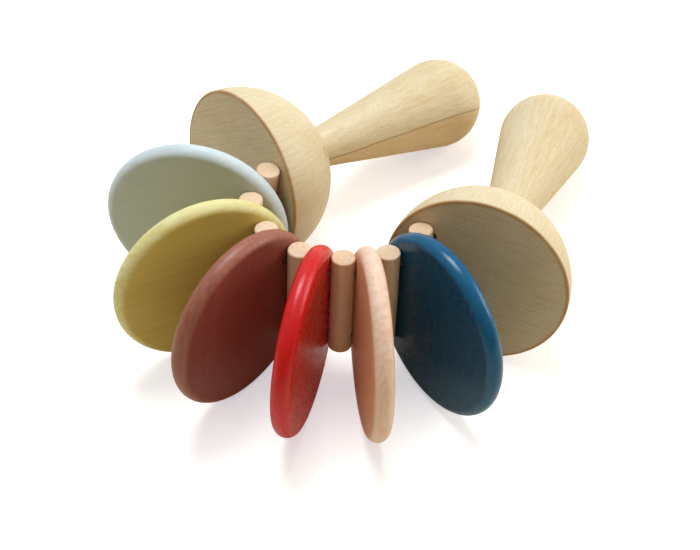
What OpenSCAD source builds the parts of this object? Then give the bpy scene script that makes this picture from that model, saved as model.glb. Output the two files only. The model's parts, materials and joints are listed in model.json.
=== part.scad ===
// A wooden clatter rattle. Six painted discs and two half-ball handles are strung on two
// elastic cords, with a dowel standing between each pair. Swung by the handles, the discs rock
// on the dowels and clap rim to rim. Here it stands fanned out on its rims and handles.

/* [Discs] */
// Diameter of each painted disc
disc_d = 60; // [50:1:72]
// Thickness of each disc
disc_t = 6.2; // [5:0.2:8]
// Rim rounding radius over half the disc's thickness, which leaves a faint crease
rim_crease = 0.15; // [0.05:0.05:0.6]

/* [Dowels] */
// Diameter of each dowel
dowel_d = 7.5; // [6:0.25:10]
// Length of each dowel
dowel_l = 37.2; // [30:0.2:46]
// Bevel round the ends of a dowel
dowel_bevel = 0.3; // [0.1:0.1:0.6]
// Gap between a dowel and the flat face that rocks on it
face_gap = 0.05; // [0.02:0.01:0.3]

/* [Heads] */
// Diameter of each half-ball head
head_d = 60; // [50:1:72]
// Bevel round the edge of a head's flat face
head_bevel = 0.4; // [0.1:0.1:1.5]

/* [Stems] */
// Diameter of a stem where it meets its head
neck_d = 12.4; // [10:0.2:16]
// Diameter of the ball end of a stem
ball_d = 31; // [24:1:38]
// Distance from a head's flat face to the middle of the ball end
ball_x = 85.5; // [70:0.5:105]
// Diameter of the tenon that is glued into the head
tenon_d = 8; // [5:0.5:9.5]
// Length of the tenon
tenon_l = 14; // [8:1:18]
// Depth left free past the end of a tenon
tenon_end_gap = 1; // [0.5:0.5:2]
// Radial glue gap round a tenon, a stem's shoulder or a plug
glue_gap = 0.05; // [0.02:0.01:0.15]

/* [Cords] */
// Diameter of each elastic cord
cord_d = 1.8; // [1:0.1:2.4]
// Diameter of the cord holes in the discs, dowels and heads
cord_hole_d = 2.8; // [2.5:0.1:3.6]
// Distance between the upper and the lower cord
cord_spacing = 26; // [20:0.5:27]
// Distance from a disc's edge to the line of its cord holes
disc_inset = 12.4; // [10.5:0.1:16]
// Distance from a head's edge to the line of its cord holes
head_inset = 14.7; // [12.5:0.1:17]
// Width of the step in a head that a cord's end knot bears on
knot_step = 0.7; // [0.5:0.1:1.2]
// Length of the end knot
knot_l = 4.5; // [4:0.5:7]
// Radial gap round the end knot
knot_gap = 0.2; // [0.1:0.05:0.3]
// Length of the plug that closes a cord hole behind the knot
plug_l = 6; // [4:0.5:8]

/* [Fan] */
// Direction that the left head's flat face looks in, in degrees from +X
first_heading = -143; // [-180:0.5:180]
// Angle between the left head and the mint disc
fan_1 = 41; // [20:0.5:44]
// Angle between the mint and the yellow disc
fan_2 = 37.5; // [20:0.5:44]
// Angle between the yellow and the brown disc
fan_3 = 23.5; // [15:0.5:40]
// Angle between the brown and the red disc
fan_4 = 26; // [15:0.5:40]
// Angle between the red and the peach disc
fan_5 = 21.5; // [15:0.5:40]
// Angle between the peach and the blue disc
fan_6 = 27; // [15:0.5:40]
// Angle between the blue disc and the right head
fan_7 = 36.5; // [20:0.5:44]
// Lean of the first and the last disc over the lean of the heads; the discs between share it out
lean_share = 0.56; // [0.1:0.02:0.82]
// How far a flat face creeps out along its dowel's side for each degree of fan angle
creep = 0.07; // [0:0.01:0.08]
// Fan angle at which a plate's cord holes lie right on its dowel's line
level_fan = 12; // [0:1:20]

/* [Hidden] */
PLATES = [
    "left_head", "mint_disc", "yellow_disc", "brown_disc", "red_disc", "peach_disc",
    "blue_disc", "right_head"
];
LAST = len(PLATES) - 1;
DOWELS = [for (k = [1 : LAST]) str("dowel_", k)];
HANDS = ["left", "right"];
LEVELS = ["lower", "upper"];
$fn = 96;

PALE_WOOD = "#E9D6B4";
DOWEL_WOOD = "#E0C49A";
PLUG_WOOD = "#CDB083";
CORD_GREY = "#2B2623";
DISC_PAINT = ["#CBD8D4", "#D9C878", "#7C4038", "#CF2A28", "#E3BC95", "#12506F"];

cut = 1;
disc_r = disc_d / 2;
rim_r = disc_t / 2 + rim_crease;
dowel_r = dowel_d / 2;
hinge_r = dowel_r + face_gap;
head_r = head_d / 2;
disc_hole_x = disc_r - disc_inset;
head_hole_x = head_r - head_inset;
neck_r = neck_d / 2;
ball_r = ball_d / 2;
plug_d = cord_hole_d + 2 * knot_step;
knot_r = plug_d / 2 - knot_gap;

// Plates are counted from the left: 0 is the left head, 1 to 6 the discs, LAST the right head.
// Gap k lies between plates k - 1 and k, and dowel k stands in it.
fans = [fan_1, fan_2, fan_3, fan_4, fan_5, fan_6, fan_7];
function is_head(i) = i == 0 || i == LAST;
function hand(i) = i == LAST ? -1 : 1;
function turned(i) = i == 0 ? 0 : turned(i - 1) + fans[i - 1];
function heading(i) = first_heading + turned(i);

// The cords keep all the middles level, so the smaller pieces hang clear of the table by the
// difference in radius. The heads lean until their stems' ball ends touch the table.
tall_r = max(disc_r, head_r);
head_lean = asin((tall_r - ball_r) / ball_x);
disc_lean = head_lean * lean_share;
function lean(i) =
    is_head(i) ? hand(i) * head_lean : disc_lean * (1 - 2 * (i - 1) / (LAST - 2));
function middle_z(i) =
    tall_r + (is_head(i) ? 0 : (disc_r - rim_r) * (cos(lean(i)) - 1));

// Directions of a plate: along its normal to the next plate, the same laid level, inward to
// the middle of the fan, and up its face.
function along(i) =
    [cos(heading(i)) * cos(lean(i)), sin(heading(i)) * cos(lean(i)), sin(lean(i))];
function level(i) = [cos(heading(i)), sin(heading(i)), 0];
function inward(i) = [-sin(heading(i)), cos(heading(i)), 0];
function up_face(i) = cross(along(i), inward(i));
function unit(v) = v / norm(v);

// Steps in plan from a plate's middle to the dowels on both sides of it.
function hole_x(i) = is_head(i) ? head_hole_x : disc_hole_x;
function half_t(i) = is_head(i) ? 0 : disc_t / 2;
function seat(i, k) = inward(i) * (hole_x(i) + creep * (fans[k - 1] - level_fan));
function stride(i) = level(i) * (half_t(i) + hinge_r);
function plan(i) =
    i == 0 ? [0, 0, 0] : plan(i - 1) + seat(i - 1, i) + stride(i - 1) - seat(i, i) + stride(i);

// How far a plate and its stem reach from the plate's middle in a level direction.
function disc_reach(i, way) = (disc_r - rim_r) * norm(cross(along(i), way)) + rim_r;
function head_reach(i, way) = hand(i) * along(i) * way < 0 ? head_r : head_r * norm(cross(along(i), way));
function ball_reach(i, way) = ball_r - ball_x * hand(i) * (along(i) * way);
function reach(i, way) = is_head(i) ? max(head_reach(i, way), ball_reach(i, way)) : disc_reach(i, way);
function end_of(way) = max([for (i = [0 : LAST]) plan(i) * way + reach(i, way)]);
function mid_of(way) = (end_of(way) - end_of(-way)) / 2;
box_middle = [mid_of([1, 0, 0]), mid_of([0, 1, 0]), 0];
function middle(i) = plan(i) - box_middle + [0, 0, middle_z(i)];

// A dowel stands where its two flat faces leave room for it, level with their middles.
function dowel_axis(k) = unit(cross(along(k - 1), along(k)));
function dowel_across(k) = unit(along(k - 1) + along(k));
function meet(a, p, b, q, c, r) =
    (cross(b, c) * p + cross(c, a) * q + cross(a, b) * r) / (a * cross(b, c));
function dowel_middle(k) = meet(
    along(k - 1), along(k - 1) * middle(k - 1) + half_t(k - 1) + hinge_r,
    along(k), along(k) * middle(k) - half_t(k) - hinge_r,
    [0, 0, 1], (middle_z(k - 1) + middle_z(k)) / 2
);

// Moves the children so that their X, Y and Z run in the three given directions.
module placed(at, x, y, z) {
    multmatrix([
        [x[0], y[0], z[0], at[0]],
        [x[1], y[1], z[1], at[1]],
        [x[2], y[2], z[2], at[2]],
        [0, 0, 0, 1]
    ]) children();
}

// A plate's own frame: Y up its face and Z along its normal, which on a head points out of the
// flat face, so the cord holes lie at +X or, on the right head, at -X.
module on_plate(i) {
    placed(middle(i), hand(i) * inward(i), up_face(i), hand(i) * along(i)) children();
}

module at_cord(i, side) {
    translate([hand(i) * hole_x(i), side * cord_spacing / 2, 0]) children();
}

// A dowel's own frame: Z along it and X the way its cord holes run.
module on_dowel(k) {
    placed(
        dowel_middle(k), dowel_across(k), cross(dowel_axis(k), dowel_across(k)), dowel_axis(k)
    ) children();
}

module across_dowel(side) {
    translate([0, 0, side * cord_spacing / 2]) rotate([0, 90, 0]) children();
}

// A disc: flat on both sides, with a rounded rim and a hole for each cord.
module disc(i) {
    color(DISC_PAINT[i - 1]) on_plate(i) difference() {
        rotate_extrude() disc_profile();
        for (side = [-1, 1]) at_cord(i, side)
            cylinder(h = disc_t + 2 * cut, d = cord_hole_d, center = true);
    }
}

module disc_profile() {
    flat_r = disc_r - rim_r + sqrt(pow(rim_r, 2) - pow(disc_t / 2, 2));
    translate([0, -disc_t / 2]) square([flat_r, disc_t]);
    intersection() {
        translate([disc_r - rim_r, 0]) circle(r = rim_r);
        translate([flat_r - cut, -disc_t / 2]) square([rim_r + cut, disc_t]);
    }
}

// A dowel: bevelled at both ends, with a cross hole for each cord.
module dowel(k) {
    half_l = dowel_l / 2;
    end_r = dowel_r - dowel_bevel;
    side_l = half_l - dowel_bevel;
    color(DOWEL_WOOD) on_dowel(k) difference() {
        rotate_extrude() polygon([
            [0, -half_l], [end_r, -half_l], [dowel_r, -side_l],
            [dowel_r, side_l], [end_r, half_l], [0, half_l]
        ]);
        for (side = [-1, 1]) across_dowel(side)
            cylinder(h = dowel_d + 2 * cut, d = cord_hole_d, center = true);
    }
}

// Depths behind a head's flat face: the seat of the stem's shoulder, the back end of a cord
// hole, the inner end of a plug, and the step that a knot bears on.
seat_depth = sqrt(pow(head_r, 2) - pow(neck_r, 2));
back_depth = sqrt(pow(head_r, 2) - pow(head_hole_x, 2) - pow(cord_spacing / 2, 2));
plug_depth = back_depth - plug_l;
step_depth = plug_depth - knot_l;

// A head: a half ball, bored from the back for the stem's tenon and for each cord and plug.
module head(i) {
    color(PALE_WOOD) on_plate(i) difference() {
        rotate_extrude() head_profile();
        translate([0, 0, -seat_depth - cut]) cylinder(h = cut, r = neck_r + glue_gap);
        translate([0, 0, -seat_depth - cut])
            cylinder(h = cut + tenon_l + tenon_end_gap, r = tenon_d / 2 + glue_gap);
        for (side = [-1, 1]) at_cord(i, side) {
            translate([0, 0, -head_r]) cylinder(h = head_r + cut, d = cord_hole_d);
            translate([0, 0, -head_r])
                cylinder(h = head_r - step_depth, r = plug_d / 2 + glue_gap);
        }
    }
}

module head_profile() {
    intersection() {
        circle(r = head_r);
        polygon([
            [0, 0], [head_r - head_bevel, 0], [head_r, -head_bevel], [head_r, -head_r], [0, -head_r]
        ]);
    }
}

// A stem: a tenon, a shoulder, and a straight taper that runs smoothly into the ball end.
module stem(i) {
    slant = asin((ball_r - neck_r) / norm([ball_x - seat_depth, ball_r - neck_r]));
    run_r = ball_r * cos(slant);
    run_z = ball_x - ball_r * sin(slant);
    color(PALE_WOOD) on_plate(i) mirror([0, 0, 1]) rotate_extrude() {
        polygon([
            [0, seat_depth - tenon_l], [tenon_d / 2, seat_depth - tenon_l],
            [tenon_d / 2, seat_depth], [neck_r, seat_depth], [run_r, run_z], [0, run_z]
        ]);
        intersection() {
            translate([0, ball_x]) circle(r = ball_r);
            translate([0, run_z]) square([ball_r, 2 * ball_r]);
        }
    }
}

// A plug, cut off flush with the back of its head.
module plug(i, side) {
    color(PLUG_WOOD) on_plate(i) intersection() {
        at_cord(i, side) translate([0, 0, -head_r])
            cylinder(h = head_r - plug_depth, d = plug_d);
        rotate_extrude() head_profile();
    }
}

// The end of a cord: its run through a head's hole, and the knot between step and plug.
module cord_in_head(i, side) {
    color(CORD_GREY) on_plate(i) at_cord(i, side) {
        translate([0, 0, -step_depth - knot_l / 2]) cylinder(h = step_depth + knot_l / 2, d = cord_d);
        translate([0, 0, -plug_depth]) rotate_extrude() knot_profile();
    }
}

// Rounded only so far that its flat end still bears on the step.
module knot_profile() {
    round_r = (knot_step - knot_gap) / 2;
    square([knot_r - round_r, knot_l]);
    translate([0, round_r]) square([knot_r, knot_l - 2 * round_r]);
    for (y = [round_r, knot_l - round_r]) intersection() {
        translate([knot_r - round_r, y]) circle(r = round_r);
        square([knot_r, knot_l]);
    }
}

// The lengths of cord inside a disc and inside a dowel, ending flush with their surfaces.
module cord_in_disc(i, side) {
    color(CORD_GREY) on_plate(i) at_cord(i, side)
        cylinder(h = disc_t, d = cord_d, center = true);
}

module cord_in_dowel(k, side) {
    color(CORD_GREY) on_dowel(k) intersection() {
        across_dowel(side) cylinder(h = dowel_d, d = cord_d, center = true);
        cylinder(h = dowel_l, d = dowel_d, center = true);
    }
}

for (i = [0, LAST]) {
    head(i);
    stem(i);
}

for (i = [1 : LAST - 1])
    disc(i);

for (k = [1 : LAST])
    dowel(k);

for (i = [0, LAST]) for (side = [0, 1])
    plug(i, 2 * side - 1);

for (side = [0, 1]) {
    for (i = [0, LAST])
        cord_in_head(i, 2 * side - 1);
    for (i = [1 : LAST - 1])
        cord_in_disc(i, 2 * side - 1);
    for (k = [1 : LAST])
        cord_in_dowel(k, 2 * side - 1);
}
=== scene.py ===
"""Looks of a wooden clatter rattle: six painted discs and seven dowels between two handles."""

import json
import math

import bmesh
import bpy
from mathutils import Matrix, Vector

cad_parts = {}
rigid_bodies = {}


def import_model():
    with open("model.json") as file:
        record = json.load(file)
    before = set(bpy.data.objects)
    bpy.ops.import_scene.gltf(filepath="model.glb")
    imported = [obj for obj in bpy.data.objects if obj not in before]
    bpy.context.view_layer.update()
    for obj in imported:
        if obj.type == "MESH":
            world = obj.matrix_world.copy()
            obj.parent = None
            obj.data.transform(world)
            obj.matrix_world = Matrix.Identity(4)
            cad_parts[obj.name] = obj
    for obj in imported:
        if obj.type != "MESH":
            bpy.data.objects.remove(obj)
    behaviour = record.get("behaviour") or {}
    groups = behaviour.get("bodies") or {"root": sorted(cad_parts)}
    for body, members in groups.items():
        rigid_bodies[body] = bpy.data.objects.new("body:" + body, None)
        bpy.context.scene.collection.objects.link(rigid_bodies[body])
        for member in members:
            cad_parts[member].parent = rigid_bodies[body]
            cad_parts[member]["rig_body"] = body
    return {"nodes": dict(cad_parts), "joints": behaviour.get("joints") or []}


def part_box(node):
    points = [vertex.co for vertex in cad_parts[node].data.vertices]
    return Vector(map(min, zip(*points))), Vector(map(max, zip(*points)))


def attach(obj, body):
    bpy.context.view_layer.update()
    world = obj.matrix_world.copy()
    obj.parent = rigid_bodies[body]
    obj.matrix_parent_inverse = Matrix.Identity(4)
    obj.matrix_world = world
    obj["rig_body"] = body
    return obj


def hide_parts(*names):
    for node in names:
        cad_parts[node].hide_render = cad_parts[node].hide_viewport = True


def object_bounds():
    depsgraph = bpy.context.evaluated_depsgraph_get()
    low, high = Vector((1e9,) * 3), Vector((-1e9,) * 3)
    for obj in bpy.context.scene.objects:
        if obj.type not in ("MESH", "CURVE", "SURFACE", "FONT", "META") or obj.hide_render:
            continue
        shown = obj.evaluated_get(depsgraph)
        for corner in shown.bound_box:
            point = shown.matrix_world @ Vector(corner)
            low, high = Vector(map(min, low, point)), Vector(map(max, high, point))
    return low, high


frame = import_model()
cad_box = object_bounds()
nodes = frame["nodes"]
joints = {j["name"]: j for j in frame["joints"]}

MM = 0.001
QUARTER = math.pi / 2
ON_FACE = 0.002 * MM     # how near a corner lies to a flat face that it belongs to
ON_RING = 0.01 * MM      # how near a corner lies to a ring that it belongs to
PLATES = [
    "left_head", "mint_disc", "yellow_disc", "brown_disc",
    "red_disc", "peach_disc", "blue_disc", "right_head",
]
DOWELS = [f"dowel_{k}" for k in range(1, len(PLATES))]
HANDS = ("left", "right")
LEVELS = ("lower", "upper")


# ---------------------------------------------------------------- places and sizes, from the frame

def middle_of(node):
    low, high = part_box(node)
    return (low + high) / 2


def frame_at(origin, z, up):
    """A frame whose Z runs along z and whose Y runs as near as it can to up."""
    z = z.normalized()
    x = up.cross(z).normalized()
    return Matrix.Translation(origin) @ Matrix((x, z.cross(x), z)).transposed().to_4x4()


def seen_from(node, place):
    """The node's corners in the frame place."""
    back = place.inverted()
    return [back @ v.co for v in nodes[node].data.vertices]


def cord_step(node):
    """From the lower cord to the upper one inside this node."""
    return middle_of(f"upper_cord_{node}") - middle_of(f"lower_cord_{node}")


def plate_frame(i):
    """Z out of a head's flat face, or along the row on a disc; Y up the face."""
    node = PLATES[i]
    z = max(nodes[node].data.polygons, key=lambda p: p.area).normal.copy()
    is_head = node.endswith("_head")
    if not is_head and z.dot(middle_of(PLATES[i + 1]) - middle_of(PLATES[i - 1])) < 0:
        z = -z
    rough = frame_at(middle_of(node), z, cord_step(node))
    corners = seen_from(node, rough)
    spans = [(min(c[a] for c in corners), max(c[a] for c in corners)) for a in range(3)]
    seat = Vector(((low + high) / 2 for low, high in spans))
    if is_head:
        seat.z = spans[2][1]
    return rough @ Matrix.Translation(seat)


plate_frames = {node: plate_frame(i) for i, node in enumerate(PLATES)}


def dowel_frame(node):
    """Z along the dowel, X the way that its cord holes run."""
    roll = joints[f"{node}_roll"]
    k = DOWELS.index(node)
    sides = [plate_frames[PLATES[i]] for i in (k, k + 1)]
    ways = [s.to_3x3() @ Vector((0, 0, 1)) for s in sides]
    row = sides[1].translation - sides[0].translation
    across = sum((w if w.dot(row) > 0 else -w for w in ways), Vector())
    axis = Vector(roll["axis"])
    return frame_at(Vector(roll["pos_m"]), axis, axis.cross(across))


dowel_frames = {node: dowel_frame(node) for node in DOWELS}


def halfway(values):
    """The middle between the lowest and the highest of the values."""
    values = list(values)
    return (min(values) + max(values)) / 2


def reach(points, centre=(0, 0)):
    """The farthest and the nearest of the points from a line along Z."""
    far = [math.hypot(p.x - centre[0], p.y - centre[1]) for p in points]
    return max(far), min(far)


# ---------------------------------------------------------------- meshes

AROUND = 160             # sides of a turned piece
AROUND_DOWEL = 96
AROUND_HOLE = 48
CORNER_STEPS = 5
CORNER_SHARE = 0.45      # most of a profile's side that one rounded corner may take up
BEND_STEPS = 8


def arc(centre, radius, start, end, steps):
    """Points of a profile on an arc, with the angles in degrees from the profile's +r axis."""
    angles = [math.radians(start + (end - start) * i / steps) for i in range(steps + 1)]
    return [(centre[0] + radius * math.cos(a), centre[1] + radius * math.sin(a)) for a in angles]


def bend(start, control, end, steps=BEND_STEPS):
    """Points of a smooth bend that leaves start and reaches end along the lines to control."""
    start, control, end = Vector(start), Vector(control), Vector(end)
    shares = [s / steps for s in range(steps + 1)]
    return [tuple(start * (1 - t) ** 2 + control * 2 * t * (1 - t) + end * t * t) for t in shares]


def eased(profile, corners):
    """The profile with the corners of the given indices rounded off to a reach each."""
    out = []
    for i, point in enumerate(profile):
        if i not in corners:
            out.append(point)
            continue
        here, before, after = (Vector(profile[j]) for j in (i, i - 1, i + 1))
        sides = ((before - here).length, (after - here).length)
        size = min(corners[i], CORNER_SHARE * min(sides))
        start = here + (before - here).normalized() * size
        end = here + (after - here).normalized() * size
        out.extend(bend(start, here, end, CORNER_STEPS))
    return out


def mesh_from(shape, name):
    """The finished mesh of a bmesh, with its faces turned outward."""
    bmesh.ops.recalc_face_normals(shape, faces=shape.faces)
    mesh = bpy.data.meshes.new(name)
    shape.to_mesh(mesh)
    shape.free()
    return mesh


def lathe(name, profile, around=AROUND):
    """A mesh turned about Z from (r, z) points; the ends of the profile lie on the axis."""
    shape = bmesh.new()
    rings = []
    for r, z in profile:
        if r < 1e-9:
            rings.append([shape.verts.new((0, 0, z))])
            continue
        turns = [2 * math.pi * a / around for a in range(around)]
        rings.append([shape.verts.new((r * math.cos(a), r * math.sin(a), z)) for a in turns])
    for ring, following in zip(rings, rings[1:]):
        for a in range(around):
            b = (a + 1) % around
            loop = [
                ring[a % len(ring)], ring[b % len(ring)],
                following[b % len(following)], following[a % len(following)],
            ]
            loop = list(dict.fromkeys(loop))
            if len(loop) > 2:
                shape.faces.new(loop)
    return mesh_from(shape, name)


def put(name, mesh, place):
    """A piece at the origin whose mesh lies at its place, as the CAD nodes do."""
    mesh.transform(place)
    piece = bpy.data.objects.new(name, mesh)
    bpy.context.scene.collection.objects.link(piece)
    return piece


def cut(piece, cutters):
    """Takes the cutters out of the piece."""
    for cutter in cutters:
        modifier = piece.modifiers.new("cut", "BOOLEAN")
        modifier.object = cutter
        modifier.operation = "DIFFERENCE"
        modifier.solver = "EXACT"
    bpy.context.view_layer.update()
    ready = piece.evaluated_get(bpy.context.evaluated_depsgraph_get())
    mesh = bpy.data.meshes.new_from_object(ready)
    piece.modifiers.clear()
    piece.data = mesh
    for cutter in cutters:
        bpy.data.objects.remove(cutter)


SHARP = math.radians(35)


def dress(piece, node, slot, material):
    """Smooths the piece, gives it its finish and lets it stand for the CAD node."""
    piece.data.shade_smooth()
    piece.data.set_sharp_from_angle(angle=SHARP)
    piece.data.materials.clear()
    piece.data.materials.append(material)
    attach(piece, nodes[node]["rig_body"])
    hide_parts(node)
    return piece


# ---------------------------------------------------------------- materials

class Graph:
    """Short hand for the nodes of one material, which lies in the frame of its piece."""

    def __init__(self, name, home=Matrix.Identity(4)):
        self.home = home
        self.material = bpy.data.materials.new(name)
        self.material.use_nodes = True
        self.tree = self.material.node_tree
        self.shader = self.tree.nodes["Principled BSDF"]

    def add(self, kind, inputs=(), **settings):
        node = self.tree.nodes.new(kind)
        for key, value in settings.items():
            setattr(node, key, value)
        for key, value in dict(inputs).items():
            self.feed(node.inputs[key], value)
        return node

    def feed(self, socket, value):
        if isinstance(value, bpy.types.NodeSocket):
            self.tree.links.new(value, socket)
        else:
            socket.default_value = value

    def grain_space(self, turn=(0, 0, 0), shift=(0, 0, 0)):
        """The piece's own coordinates in millimetres, turned so that Z runs along the grain."""
        place = self.add("ShaderNodeTexCoord").outputs["Object"]
        at_home = self.add("ShaderNodeMapping", {
            "Vector": place, "Rotation": self.home.to_euler(), "Location": self.home.translation,
        }, vector_type="TEXTURE")
        node = self.add("ShaderNodeMapping", {
            "Vector": at_home.outputs["Vector"], "Scale": (1 / MM,) * 3, "Rotation": turn,
            "Location": shift,
        })
        return node.outputs["Vector"]

    def stretched(self, place, scale):
        return self.add("ShaderNodeMapping", {"Vector": place, "Scale": scale}).outputs["Vector"]

    def noise(self, place, scale, detail=3.0, rough=0.5):
        node = self.add("ShaderNodeTexNoise", {
            "Vector": place, "Scale": scale, "Detail": detail, "Roughness": rough,
        })
        return node.outputs["Fac"]

    def math(self, operation, a, b=0.0, clamp=False):
        node = self.add("ShaderNodeMath", {0: a, 1: b}, operation=operation, use_clamp=clamp)
        return node.outputs[0]

    def spread(self, value, low, high, to_low=0.0, to_high=1.0):
        """The value, with low to high spread over to_low to to_high, and held inside them."""
        node = self.add("ShaderNodeMapRange", {
            "Value": value, "From Min": low, "From Max": high, "To Min": to_low, "To Max": to_high,
        }, interpolation_type="SMOOTHSTEP")
        return node.outputs["Result"]

    def mix(self, share, a, b, blend="MIX"):
        node = self.add("ShaderNodeMix", data_type="RGBA", blend_type=blend)
        self.feed(node.inputs["Factor"], share)
        self.feed(node.inputs[6], a)
        self.feed(node.inputs[7], b)
        return node.outputs[2]

    def bump(self, height, depth, normal=None):
        """A bump of this depth in metres where the height goes from 0 to 1."""
        node = self.add("ShaderNodeBump", {"Height": height, "Distance": depth, "Strength": 1.0})
        if normal is not None:
            self.feed(node.inputs["Normal"], normal)
        return node.outputs["Normal"]


def colour(code):
    """A linear colour from an sRGB hex code."""
    parts = [int(code[i:i + 2], 16) / 255 for i in (1, 3, 5)]
    return tuple(p / 12.92 if p < 0.04045 else ((p + 0.055) / 1.055) ** 2.4 for p in parts) + (1.0,)


PALE, TAN, PORE = colour("#DAC9A4"), colour("#CDB07C"), colour("#946E38")
# the second colour is painted light: a warm line along the heads' crease that stands in for how the
# light falls on the rounded edge
WARM, CREASE_PAINTED_LIGHT = colour("#D6AE70"), colour("#B07428")
DOWEL_PALE, DOWEL_DEEP, DOWEL_LINE = colour("#DEC5A4"), colour("#DCA266"), colour("#946030")
PLUG_PALE, PLUG_DEEP = colour("#D3B98E"), colour("#B48E5C")
YARN, YARN_GAP = colour("#4A423C"), colour("#1C1816")


def ring_pattern(graph, place, pith, spacing, waver):
    """Growth rings about a pith beside the piece: 0 in the early wood up to 1 in the late."""
    slow = graph.stretched(place, (1, 1, 0.12))
    sway = graph.math("MULTIPLY", graph.math("SUBTRACT", graph.noise(slow, 0.05, 2), 0.5), waver)
    flat = graph.add("ShaderNodeVectorMath", {0: place, 1: (1, 1, 0)}, operation="MULTIPLY")
    away = graph.add("ShaderNodeVectorMath", {0: flat.outputs[0], 1: pith}, operation="DISTANCE")
    turns = graph.math("DIVIDE", graph.math("ADD", away.outputs["Value"], sway), spacing)
    share = graph.math("FRACT", turns)
    rise = graph.spread(share, 0.15, 0.86)
    fall = graph.spread(share, 0.9, 1.0)
    strength = graph.spread(graph.noise(slow, 0.11, 2), 0.35, 0.65, 0.25, 1.0)
    return graph.math("MULTIPLY", graph.math("SUBTRACT", rise, fall, clamp=True), strength)


def pore_pattern(graph, place, along, across, share):
    """Short dark dashes along the grain, which are dots on an end face."""
    cells = graph.add("ShaderNodeTexVoronoi", {
        "Vector": graph.stretched(place, (1 / across, 1 / across, 1 / along)), "Scale": 1.0,
        "Randomness": 1.0,
    })
    near = graph.spread(cells.outputs["Distance"], 0.08, 0.3, 1.0, 0.0)
    tint = graph.add("ShaderNodeSeparateColor", {"Color": cells.outputs["Color"]})
    chosen = graph.math("LESS_THAN", tint.outputs[0], share)
    return graph.math("MULTIPLY", near, chosen)


def radius_in(graph, place):
    """How far a point lies from the piece's own axis, in millimetres."""
    flat = graph.add("ShaderNodeVectorMath", {0: place, 1: (1, 1, 0)}, operation="MULTIPLY")
    length = graph.add("ShaderNodeVectorMath", {0: flat.outputs[0]}, operation="LENGTH")
    return length.outputs["Value"]


def with_vein(graph, tone, place, vein, warm, line):
    """One dark growth line along the piece, with warmer wood beyond it."""
    turn, depth, lean = vein
    along = (math.cos(turn), math.sin(turn), lean)
    side = graph.add("ShaderNodeVectorMath", {0: place, 1: along}, operation="DOT_PRODUCT")
    sway = graph.noise(graph.stretched(place, (1, 1, 0.4)), 0.09, 2)
    past = graph.math("ADD", graph.math("SUBTRACT", side.outputs["Value"], depth),
                      graph.math("MULTIPLY", graph.math("SUBTRACT", sway, 0.5), 1.6))
    tone = graph.mix(graph.spread(past, -0.1, 0.5, 0.0, 0.45), tone, warm)
    near = graph.spread(graph.math("ABSOLUTE", past), 0.05, 0.45, 0.6, 0.0)
    return graph.mix(near, tone, line)


def with_painted_crease_light(graph, tone, place, crease, worn):
    """A thin darker, warmer line painted where the flat face meets the dome, standing in for how the
    light falls on the rounded edge between the shaded face and the lit dome.
    """
    past = graph.math("SUBTRACT", radius_in(graph, place), crease)
    depth = graph.add("ShaderNodeSeparateXYZ", {"Vector": place}).outputs["Z"]
    squares = [graph.math("POWER", graph.math("ABSOLUTE", side), 2.0) for side in (past, depth)]
    away = graph.math("SQRT", graph.math("ADD", *squares))
    patchy = graph.noise(place, 0.12, 2)
    share = graph.math("MULTIPLY", graph.spread(away, 0.2, 1.1, 0.8, 0.0),
                       graph.spread(patchy, 0.3, 0.6, 0.5, 1.0))
    # painted light along the crease, in the colour passed in as worn; it is not wear
    return graph.mix(share, tone, worn)


def with_saw_lines(graph, tone, place, turn, deep):
    """Faint straight lines that the saw left across a flat face."""
    turned = graph.add("ShaderNodeMapping", {"Vector": place, "Rotation": (0, 0, turn)})
    lines = graph.noise(graph.stretched(turned.outputs["Vector"], (0.05, 1, 1)), 1.3, 3, 0.6)
    depth = graph.add("ShaderNodeSeparateXYZ", {"Vector": place}).outputs["Z"]
    share = graph.math("MULTIPLY", graph.spread(depth, -0.3, -0.1),
                       graph.spread(lines, 0.42, 0.66, 0.13, 0.3))
    return graph.mix(share, tone, deep)


def bare_wood(name, home, pale, deep, line, pith, turn=(0, 0, 0), shift=(0, 0, 0), spacing=2.6,
              rings=0.35, streaks=0.5, pores=0.5, waver=5.0, vein=None, crease=None, saw=0.0):
    """Sanded wood: growth rings, fibre streaks and open pores along the grain."""
    graph = Graph(name, home)
    place = graph.grain_space(turn, shift)
    ring = ring_pattern(graph, place, pith, spacing, waver)
    streak = graph.noise(graph.stretched(place, (1, 1, 0.035)), 0.9, 5, 0.62)
    fibre = graph.noise(graph.stretched(place, (1, 1, 0.05)), 5.0, 2, 0.6)
    patch = graph.noise(graph.stretched(place, (1, 1, 0.3)), 0.06, 2)
    pore = pore_pattern(graph, place, 1.7, 0.34, 0.3)
    depth = graph.math("MULTIPLY", ring, rings)
    depth = graph.math("ADD", depth, graph.spread(streak, 0.36, 0.7, 0.0, streaks))
    depth = graph.math("ADD", depth, graph.spread(patch, 0.35, 0.7, 0.0, 0.3), clamp=True)
    tone = graph.mix(depth, pale, deep)
    tone = graph.mix(graph.spread(fibre, 0.45, 0.8, 0.0, 0.15), tone, line)
    plain = graph.grain_space()
    if vein:
        tone = with_vein(graph, tone, plain, vein, WARM, line)
    tone = graph.mix(graph.math("MULTIPLY", pore, pores), tone, line)
    if crease:
        tone = with_saw_lines(graph, tone, plain, saw, line)
        # painted light along the crease between the flat face and the dome
        tone = with_painted_crease_light(graph, tone, plain, crease, CREASE_PAINTED_LIGHT)
    graph.feed(graph.shader.inputs["Base Color"], tone)
    rough = graph.math("ADD", graph.spread(streak, 0.3, 0.7, 0.45, 0.58),
                       graph.math("MULTIPLY", pore, 0.15))
    graph.feed(graph.shader.inputs["Roughness"], rough)
    relief = graph.math("SUBTRACT", graph.math("MULTIPLY", fibre, 0.5), pore)
    graph.feed(graph.shader.inputs["Normal"], graph.bump(relief, 0.03 * MM))
    graph.shader.inputs["Specular IOR Level"].default_value = 0.5
    return graph.material


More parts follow.
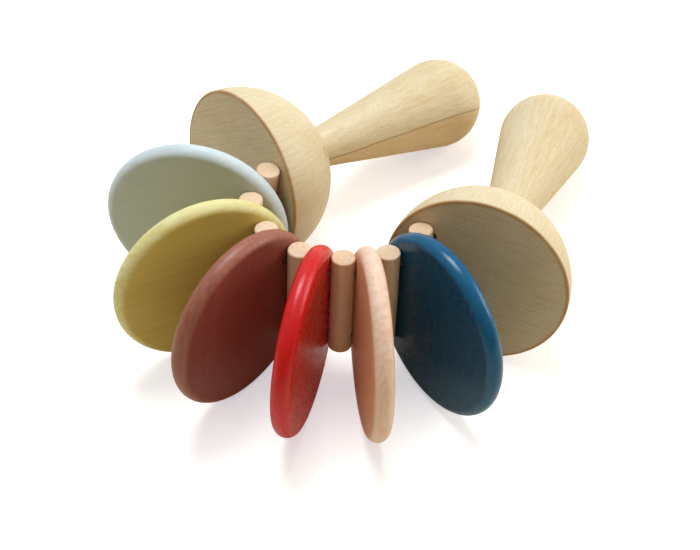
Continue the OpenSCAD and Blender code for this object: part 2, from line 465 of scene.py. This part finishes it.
def painted_wood(name, home, paint, shade, rim, flat, lie, shift, rough, grain, pores):
    """Paint thin enough for the grain of the wood to show through faintly, and paler on the rim:
    partly paler paint, partly a painted highlight and sheen where the rim catches the light.
    """
    graph = Graph(name, home)
    place = graph.grain_space((QUARTER, lie - QUARTER, 0.4), shift)
    ring = ring_pattern(graph, place, (38, -12, 0), 4.3, 14.0)
    streak = graph.noise(graph.stretched(place, (1, 1, 0.05)), 0.8, 2.5, 0.55)
    patch = graph.noise(place, 0.07, 2)
    pore = pore_pattern(graph, place, 1.6, 0.4, 0.05)
    plain = graph.grain_space()
    # painted highlight: the rim is mixed towards a paler colour, which stands in partly for the light
    # and sheen that the rim catches and partly for paler paint
    base = graph.mix(graph.spread(radius_in(graph, plain), flat - 0.5, flat + 1.6), paint, rim)
    depth = graph.math("ADD", graph.math("MULTIPLY", ring, 0.6), graph.spread(streak, 0.35, 0.7))
    depth = graph.math("ADD", graph.math("MULTIPLY", depth, grain),
                       graph.spread(patch, 0.3, 0.7, 0.0, 0.2), clamp=True)
    tone = graph.mix(depth, base, shade)
    tone = graph.mix(graph.math("MULTIPLY", pore, pores), tone, shade)
    graph.feed(graph.shader.inputs["Base Color"], tone)
    graph.feed(graph.shader.inputs["Roughness"],
               graph.spread(graph.noise(place, 0.35, 4), 0.3, 0.7, rough - 0.05, rough + 0.06))
    fine = graph.noise(place, 0.9, 1)
    relief = graph.math("ADD", graph.math("MULTIPLY", streak, 0.3),
                        graph.math("MULTIPLY", fine, 0.6))
    relief = graph.math("SUBTRACT", relief, graph.math("MULTIPLY", pore, 0.3 * pores))
    graph.feed(graph.shader.inputs["Normal"], graph.bump(relief, 0.02 * MM))
    graph.shader.inputs["Specular IOR Level"].default_value = 0.35
    return graph.material


def braided_elastic(name, yarn, gap):
    """Round elastic with a braided cover; the braid itself is in the mesh."""
    graph = Graph(name)
    place = graph.grain_space()
    fibre = graph.noise(place, 5.0, 3, 0.65)
    worn = graph.noise(place, 0.8, 2)
    tone = graph.mix(graph.spread(fibre, 0.3, 0.7), gap, yarn)
    tone = graph.mix(graph.spread(worn, 0.45, 0.75, 0.0, 0.3), tone, yarn)
    graph.feed(graph.shader.inputs["Base Color"], tone)
    graph.feed(graph.shader.inputs["Roughness"], graph.spread(fibre, 0.2, 0.8, 0.75, 0.95))
    graph.feed(graph.shader.inputs["Normal"], graph.bump(fibre, 0.04 * MM))
    graph.shader.inputs["Sheen Weight"].default_value = 0.3
    return graph.material


# ---------------------------------------------------------------- the stack

DOME_STEPS = 70
BALL_STEPS = 60
RIM_STEPS = 24
SIDE_STEPS = 12          # rings along a stem's taper
DOWEL_STEPS = 16         # rings along a dowel
EDGE = 0.7 * MM          # how far paint and sanding round off the line between face and rim
LIP = 0.12 * MM          # broken edge round a drilled hole
SEAM = 0.15 * MM         # broken edge at the shoulder of a stem
DOWEL_EASE = 0.12 * MM   # sanding on a dowel's bevels
HEAD_EASE = 0.25 * MM    # sanding on the edge of a head's flat face
TENON_EASE = 0.5 * MM
GLUE_GAP = 0.05 * MM
KNOT_FROM = 1.2          # a knot starts where the cord is this many times its own radius
SPARE = 2 * MM           # how far a cutter sticks out of what it cuts


def hole_of(node, place):
    """Where the upper cord's hole lies in the plate's frame, and the hole's radius."""
    cord = seen_from(f"upper_cord_{node}", place)
    x, y = halfway(c.x for c in cord), halfway(c.y for c in cord)
    wall = reach(seen_from(node, place), (x, y))[1]
    return x, y, wall


def drill(place, profile, x, y):
    """Cutters of one profile at both of a plate's cord holes."""
    return [
        put(f"cutter_{side}", lathe("cutter", profile, AROUND_HOLE),
            place @ Matrix.Translation((x, side * y, 0)))
        for side in (-1, 1)
    ]


def disc_profile(radius, flat, half):
    """Flat faces and a rounded rim, with the faint crease between them sanded over."""
    inset = radius - flat
    rim = (inset ** 2 + half ** 2) / (2 * inset)
    centre = radius - rim
    turn = math.asin(half / rim) - EDGE / rim
    r, z = centre + rim * math.cos(turn), rim * math.sin(turn)
    control = (r - (half - z) * math.tan(turn), half)
    soft = bend((flat - EDGE, half), control, (r, z))
    edge = arc((centre, 0), rim, math.degrees(turn), -math.degrees(turn), RIM_STEPS)
    low = [(point[0], -point[1]) for point in reversed(soft)]
    face = flat - 3 * EDGE
    return [(0, half), (face, half), *soft[:-1], *edge, *low[1:], (face, -half), (0, -half)]


def flat_part(corners):
    """The height of a piece's flat face in its own frame, and that face's radius."""
    half = max(c.z for c in corners)
    return half, max(math.hypot(c.x, c.y) for c in corners if c.z > half - ON_FACE)


def disc(node, slot, material):
    place = plate_frames[node]
    corners = seen_from(node, place)
    half, flat = flat_part(corners)
    profile = disc_profile(reach(corners)[0], flat, half)
    piece = put(node + "_body", lathe(node, profile), place)
    x, y, wall = hole_of(node, place)
    cutter = [(0, half + SPARE), (wall + LIP + SPARE, half + SPARE), (wall, half - LIP),
              (wall, LIP - half), (wall + LIP + SPARE, -half - SPARE), (0, -half - SPARE)]
    cut(piece, drill(place, cutter, x, y))
    return dress(piece, node, slot, material)


def stem_rings(hand):
    """The stem's rings, (z, r), from the tenon's end down to the ball end."""
    corners = seen_from(f"{hand}_stem", plate_frames[f"{hand}_head"])
    found = {(round(c.z, 7), round(math.hypot(c.x, c.y), 7)) for c in corners}
    return sorted(found, key=lambda ring: (-ring[0], ring[1]))


def stem_sizes(hand):
    """Tenon radius and end, shoulder depth, neck radius, ball radius and middle."""
    rings = stem_rings(hand)
    top = rings[0][0]
    tenon = max(r for z, r in rings if z > top - ON_RING)
    halfway_down = rings[-1][0] / 2
    shoulder = min(z for z, r in rings if abs(r - tenon) < ON_RING and z > halfway_down)
    neck = max(r for z, r in rings if abs(z - shoulder) < ON_RING)
    ball = max(r for z, r in rings)
    return tenon, top, shoulder, neck, ball, rings[-1][0] + ball


def stem(hand, slot, material):
    tenon, top, shoulder, neck, ball, middle = stem_sizes(hand)
    slope = math.degrees(math.asin((ball - neck) / math.hypot(middle - shoulder, ball - neck)))
    round_end = arc((0, middle), ball, slope, -90, BALL_STEPS)
    start = round_end[0]
    sides = [
        (neck + (start[0] - neck) * s / SIDE_STEPS, shoulder + (start[1] - shoulder) * s / SIDE_STEPS)
        for s in range(1, SIDE_STEPS)
    ]
    profile = [(0, top), (tenon, top), (tenon, shoulder), (neck, shoulder), *sides, *round_end]
    profile = eased(profile, {1: TENON_EASE, 3: SEAM})
    profile[-1] = (0, profile[-1][1])
    piece = put(f"{hand}_stem_body", lathe("stem", profile), plate_frames[f"{hand}_head"])
    return dress(piece, f"{hand}_stem", slot, material)


def cord_radius(cord, x, y):
    """The cord's own radius, from its end at the flat face."""
    end = max(c.z for c in cord)
    return max(math.hypot(c.x - x, c.y - y) for c in cord if c.z > end - ON_RING)


def head(hand, slot, material):
    node = f"{hand}_head"
    place = plate_frames[node]
    corners = seen_from(node, place)
    tenon, top, shoulder, neck, _, _ = stem_sizes(hand)
    widest = max(corners, key=lambda c: math.hypot(c.x, c.y))
    ball = math.hypot(widest.x, widest.y, widest.z)
    start = math.degrees(math.asin(widest.z / ball))
    bore = neck + GLUE_GAP
    flat = flat_part(corners)[1]
    dome = arc((0, 0), ball, start, -math.degrees(math.acos(bore / ball)), DOME_STEPS)
    profile = [(0, 0), (flat - EDGE, 0), (flat, 0), *dome, (bore, shoulder),
               (tenon + GLUE_GAP, shoulder), (tenon + GLUE_GAP, top + MM), (0, top + MM)]
    profile = eased(profile, {2: HEAD_EASE, 3: HEAD_EASE, 3 + DOME_STEPS: SEAM})
    piece = put(node + "_body", lathe(node, profile), place)
    x, y, wall = hole_of(node, place)
    plug_bore = reach(seen_from(f"{hand}_upper_plug", place), (x, y))[0] + GLUE_GAP
    cord = seen_from(f"upper_cord_{node}", place)
    thin = KNOT_FROM * cord_radius(cord, x, y)
    step = max(c.z for c in cord if math.hypot(c.x - x, c.y - y) > thin)
    cutter = [(0, SPARE), (wall + LIP + SPARE, SPARE), (wall, -LIP), (wall, step),
              (plug_bore, step), (plug_bore, -ball - SPARE), (0, -ball - SPARE)]
    cut(piece, drill(place, cutter, x, y))
    return dress(piece, node, slot, material)


def dowel(node, slot, material):
    place = dowel_frames[node]
    corners = seen_from(node, place)
    half, end = flat_part(corners)
    radius = reach(corners)[0]
    side = half - (radius - end)
    steps = [side - 2 * side * s / DOWEL_STEPS for s in range(1, DOWEL_STEPS)]
    profile = [(0, half), (end, half), (radius, side), *((radius, z) for z in steps),
               (radius, -side), (end, -half), (0, -half)]
    last = len(profile) - 1
    profile = eased(profile, {i: DOWEL_EASE for i in (1, 2, last - 2, last - 1)})
    piece = put(node + "_body", lathe(node, profile, AROUND_DOWEL), place)
    height = halfway(c.z for c in seen_from(f"upper_cord_{node}", place))
    near = [c for c in corners if abs(c.z - height) < 3 * MM]
    inner = min(math.hypot(c.y, c.z - height) for c in near)
    cutter = [(0, radius + SPARE), (inner, radius + SPARE), (inner, -radius - SPARE),
              (0, -radius - SPARE)]
    across = Matrix.Rotation(QUARTER, 4, "Y")
    cutters = [
        put(f"cutter_{side_of}", lathe("cutter", cutter, AROUND_HOLE),
            place @ Matrix.Translation((0, 0, side_of * height)) @ across)
        for side_of in (-1, 1)
    ]
    cut(piece, cutters)
    return dress(piece, node, slot, material)


# ---------------------------------------------------------------- the cords

BRAID_STEP = 0.14 * MM   # between two rings of a braided mesh
BRAID_AROUND = 32
BRAID_STRANDS = 6
BRAID_PITCH = 5.2 * MM   # one turn of a strand
BRAID_RELIEF = 0.1       # depth between the strands, over the cord's radius


def braid_relief(turn, z):
    """Two sets of strands that cross, one over the other by turns."""
    right = turn * BRAID_STRANDS + 2 * math.pi * z * BRAID_STRANDS / BRAID_PITCH
    left = turn * BRAID_STRANDS - 2 * math.pi * z * BRAID_STRANDS / BRAID_PITCH
    over = 0.5 + 0.5 * math.sin(right / 2) * math.sin(left / 2)
    return over * abs(math.cos(right / 2)) + (1 - over) * abs(math.cos(left / 2))


def braided(name, outline, top, bottom):
    """A braided cord along Z from top to bottom, with the radius that outline(z) gives."""
    shape = bmesh.new()
    count = max(4, round((top - bottom) / BRAID_STEP))
    rings = []
    for s in range(count + 1):
        z = top + (bottom - top) * s / count
        ring = []
        for a in range(BRAID_AROUND):
            turn = 2 * math.pi * a / BRAID_AROUND
            r = outline(z) * (1 - BRAID_RELIEF * (1 - braid_relief(turn, z)))
            ring.append(shape.verts.new((r * math.cos(turn), r * math.sin(turn), z)))
        rings.append(ring)
    for ring, following in zip(rings, rings[1:]):
        for a in range(BRAID_AROUND):
            b = (a + 1) % BRAID_AROUND
            shape.faces.new((ring[a], ring[b], following[b], following[a]))
    shape.faces.new(rings[0])
    shape.faces.new(reversed(rings[-1]))
    return mesh_from(shape, name)


def cord_in_plate(level, node, slot, material):
    """A length of cord through a disc, or a head's end of the cord with its knot."""
    name = f"{level}_cord_{node}"
    cord = seen_from(name, plate_frames[node])
    x, y = halfway(c.x for c in cord), halfway(c.y for c in cord)
    top, bottom = max(c.z for c in cord), min(c.z for c in cord)
    thin = cord_radius(cord, x, y)
    thick = max(math.hypot(c.x - x, c.y - y) for c in cord)
    knot = [c.z for c in cord if math.hypot(c.x - x, c.y - y) > KNOT_FROM * thin]
    knot_top = max(knot, default=bottom)

    def outline(z):
        if z >= knot_top:
            return thin
        middle, half = (knot_top + bottom) / 2, (knot_top - bottom) / 2
        bulge = (1 - min(1, abs(z - middle) / half) ** 4) ** 0.25
        lumps = 0.94 + 0.06 * math.cos((z - middle) / half * 3 * math.pi)
        return max(thin * 0.7, thick * bulge * lumps)

    place = plate_frames[node] @ Matrix.Translation((x, y, 0))
    piece = put(name + "_braid", braided(name, outline, top, bottom), place)
    return dress(piece, name, slot, material)


def cord_in_dowel(level, node, slot, material):
    """A length of cord across a dowel."""
    name = f"{level}_cord_{node}"
    place = dowel_frames[node]
    cord = seen_from(name, place)
    height = halfway(c.z for c in cord)
    thin = (max(c.z for c in cord) - min(c.z for c in cord)) / 2
    half = min(abs(c.x) for c in cord if abs(c.x) > 2 * thin)
    place = place @ Matrix.Translation((0, 0, height)) @ Matrix.Rotation(QUARTER, 4, "Y")
    piece = put(name + "_braid", braided(name, lambda z: thin, half, -half), place)
    return dress(piece, name, slot, material)


# ---------------------------------------------------------------- build it

wood_looks = {
    "left_head": dict(pith=(26, 22, 0), turn=(0, 0, 0.9), shift=(3, 7, 0), rings=0.2, spacing=1.7,
                      streaks=0.4, saw=-0.7),
    "right_head": dict(pith=(-3, 44, 0), turn=(0, 0, 0.1), shift=(40, 5, 30), rings=0.2,
                       spacing=1.5, streaks=0.4, saw=0.12),
    "left_stem": dict(pith=(17, -9, 0), turn=(0, 0, 0.4), shift=(11, 3, 8), rings=0.25,
                      vein=(-0.76, 4.0, 0.03), pores=0.75),
    "right_stem": dict(pith=(21, 12, 0), turn=(0, 0, 2.2), shift=(5, 60, 9), rings=0.3,
                       pores=0.6),
}
for hand in HANDS:
    home = plate_frames[f"{hand}_head"]
    wood_looks[f"{hand}_head"]["crease"] = flat_part(seen_from(f"{hand}_head", home))[1] / MM
    for build, part in ((head, "head"), (stem, "stem")):
        name = f"{hand}_{part}"
        wood = bare_wood(name + "_wood", home, PALE, TAN, PORE, **wood_looks[name])
        build(hand, "pale_wood", wood)

# slot, paint, shade (the darker tone of the grain), rim (partly paler paint, partly a painted
# highlight where the rim catches the light), roughness, grain, pores, lie of the grain
paints = {
    "mint_disc": ("mint_paint", "#BAC2B6", "#ACB6A8", "#CFD8D8", 0.50, 0.2, 0.1, 0.3),
    "yellow_disc": ("yellow_paint", "#D8C264", "#C8AC4C", "#E2DA9C", 0.50, 0.3, 0.2, 0.0),
    "brown_disc": ("brown_paint", "#904C40", "#7C3C30", "#A4664E", 0.40, 0.3, 0.15, 1.4),
    "red_disc": ("red_paint", "#D4120C", "#B60C0C", "#D21212", 0.30, 0.3, 0.1, 1.5),
    "peach_disc": ("peach_paint", "#DEA67C", "#CE946A", "#F0D2B8", 0.50, 0.25, 0.15, 1.6),
    "blue_disc": ("blue_paint", "#004868", "#003A54", "#00587C", 0.24, 0.2, 0.1, 1.5),
}
for index, (name, look) in enumerate(paints.items()):
    slot, paint, shade, rim, rough, grain, pores, lie = look
    flat = flat_part(seen_from(name, plate_frames[name]))[1] / MM
    coat = painted_wood(
        name + "_paint", plate_frames[name], colour(paint), colour(shade), colour(rim), flat, lie,
        shift=(17 * index, 5 * index, 9 * index), rough=rough, grain=grain, pores=pores,
    )
    disc(name, slot, coat)

for index, name in enumerate(DOWELS):
    look = bare_wood(
        name + "_wood", dowel_frames[name], DOWEL_PALE, DOWEL_DEEP, DOWEL_LINE,
        pith=(9, 6, 0), turn=(0, 0, 0.9 * index), shift=(13 * index, 7 * index, 11 * index),
        spacing=1.8, rings=0.25, streaks=0.4, pores=0.35, waver=2.0,
    )
    dowel(name, "dowel_wood", look)

for hand in HANDS:
    plug_wood = bare_wood(
        f"{hand}_plug_end_grain", plate_frames[f"{hand}_head"], PLUG_PALE, PLUG_DEEP, PORE,
        pith=(4, 3, 0), spacing=1.4, rings=0.5, pores=0.8,
    )
    for level in LEVELS:
        nodes[f"{hand}_{level}_plug"].data.materials.clear()
        nodes[f"{hand}_{level}_plug"].data.materials.append(plug_wood)

elastic = braided_elastic("elastic_braid", YARN, YARN_GAP)
for level in LEVELS:
    for node in PLATES:
        cord_in_plate(level, node, "elastic", elastic)
    for node in DOWELS:
        cord_in_dowel(level, node, "elastic", elastic)


# ---------------------------------------------------------------- floor, light and camera

low, high = cad_box
middle = (low + high) / 2
FLOOR_REACH = 30 * (high - low).length
GLOW = 0.5               # lifts the floor's soft shadows for the camera alone

# name, place from the middle of the object, size, power and tint
LAMPS = [
    ("overhead", (-0.06, 0.28, 0.78), (0.42, 0.34), 5.2, (0.88, 0.98, 1.12)),
    ("right", (0.74, 0.16, 0.30), (0.4, 0.4), 2.5, (1.0, 0.98, 0.93)),
]
ROOM_DIM, ROOM_BRIGHT = (0.27, 0.198, 0.108), (0.62, 0.65, 0.68)
ROOM_LIT_WAY = (0, 0.72, 0.69)
ROOM_TURN = (-0.45, 0.65)   # where the dim side ends and the bright side begins
WALL_SEEN = 0.95

LENS, SENSOR = 96.1, 36
EYE = (-0.0026, -0.4210, 0.4657)
LOOKS_DOWN, ROLL = 47.8, -0.8   # degrees


def floor():
    """A plain pale floor."""
    graph = Graph("pale_floor")
    place = graph.grain_space()
    speck = graph.noise(place, 0.02, 3)
    tone = graph.mix(speck, (0.90, 0.82, 0.66, 1), (0.93, 0.85, 0.69, 1))
    graph.feed(graph.shader.inputs["Base Color"], tone)
    graph.shader.inputs["Roughness"].default_value = 0.8
    graph.shader.inputs["Specular IOR Level"].default_value = 0.2
    seen = graph.add("ShaderNodeLightPath").outputs["Is Camera Ray"]
    graph.shader.inputs["Emission Color"].default_value = (0.97, 1.0, 1.1, 1)
    graph.feed(graph.shader.inputs["Emission Strength"], graph.math("MULTIPLY", seen, GLOW))
    mesh = bpy.data.meshes.new("floor")
    ways = ((-1, -1), (1, -1), (1, 1), (-1, 1))
    corners = [(x * FLOOR_REACH, y * FLOOR_REACH, 0) for x, y in ways]
    mesh.from_pydata(corners, [], [(0, 1, 2, 3)])
    mesh.materials.append(graph.material)
    slab = put("floor", mesh, Matrix.Identity(4))


def softbox(name, place, size, power, tint):
    """A soft rectangular lamp that faces the middle of the object."""
    data = bpy.data.lights.new(name, "AREA")
    data.shape = "RECTANGLE"
    data.size, data.size_y = size
    data.energy = power
    data.color = tint
    lamp = bpy.data.objects.new(name, data)
    bpy.context.scene.collection.objects.link(lamp)
    lamp.location = middle + Vector(place)
    lamp.rotation_euler = (-Vector(place)).to_track_quat("-Z", "Y").to_euler()


def surroundings():
    """A room that is bright on one side, which the camera sees as a pale wall."""
    world = bpy.data.worlds.new("room")
    bpy.context.scene.world = world
    world.use_nodes = True
    tree = world.node_tree
    tree.nodes.clear()
    out = tree.nodes.new("ShaderNodeOutputWorld")
    mix = tree.nodes.new("ShaderNodeMixShader")
    path = tree.nodes.new("ShaderNodeLightPath")
    way = tree.nodes.new("ShaderNodeTexCoord")
    facing = tree.nodes.new("ShaderNodeVectorMath")
    facing.operation = "DOT_PRODUCT"
    facing.inputs[1].default_value = Vector(ROOM_LIT_WAY).normalized()
    share = tree.nodes.new("ShaderNodeMapRange")
    share.interpolation_type = "SMOOTHSTEP"
    share.inputs["From Min"].default_value = ROOM_TURN[0]
    share.inputs["From Max"].default_value = ROOM_TURN[1]
    glow = tree.nodes.new("ShaderNodeMix")
    glow.data_type = "RGBA"
    glow.inputs[6].default_value = (*ROOM_DIM, 1)
    glow.inputs[7].default_value = (*ROOM_BRIGHT, 1)
    light = tree.nodes.new("ShaderNodeBackground")
    wall = tree.nodes.new("ShaderNodeBackground")
    wall.inputs["Color"].default_value = (1, 1, 1, 1)
    wall.inputs["Strength"].default_value = WALL_SEEN
    tree.links.new(way.outputs["Generated"], facing.inputs[0])
    tree.links.new(facing.outputs["Value"], share.inputs["Value"])
    tree.links.new(share.outputs["Result"], glow.inputs["Factor"])
    tree.links.new(glow.outputs[2], light.inputs["Color"])
    tree.links.new(light.outputs[0], mix.inputs[1])
    tree.links.new(wall.outputs[0], mix.inputs[2])
    tree.links.new(path.outputs["Is Camera Ray"], mix.inputs[0])
    tree.links.new(mix.outputs[0], out.inputs["Surface"])


def camera():
    """Looks down on the stack from in front, across its open side."""
    data = bpy.data.cameras.new("camera")
    data.sensor_width = SENSOR
    data.lens = LENS
    data.clip_start, data.clip_end = 0.05, 50
    eye = bpy.data.objects.new("camera", data)
    bpy.context.scene.collection.objects.link(eye)
    pitch, roll = math.radians(90 - LOOKS_DOWN), math.radians(ROLL)
    eye.matrix_world = (
        Matrix.Translation(EYE)
        @ Matrix.Rotation(pitch, 4, "X") @ Matrix.Rotation(roll, 4, "Z")
    )
    bpy.context.scene.camera = eye


floor()
for lamp in LAMPS:
    softbox(*lamp)
surroundings()
camera()
bpy.context.scene.view_settings.view_transform = "Standard"
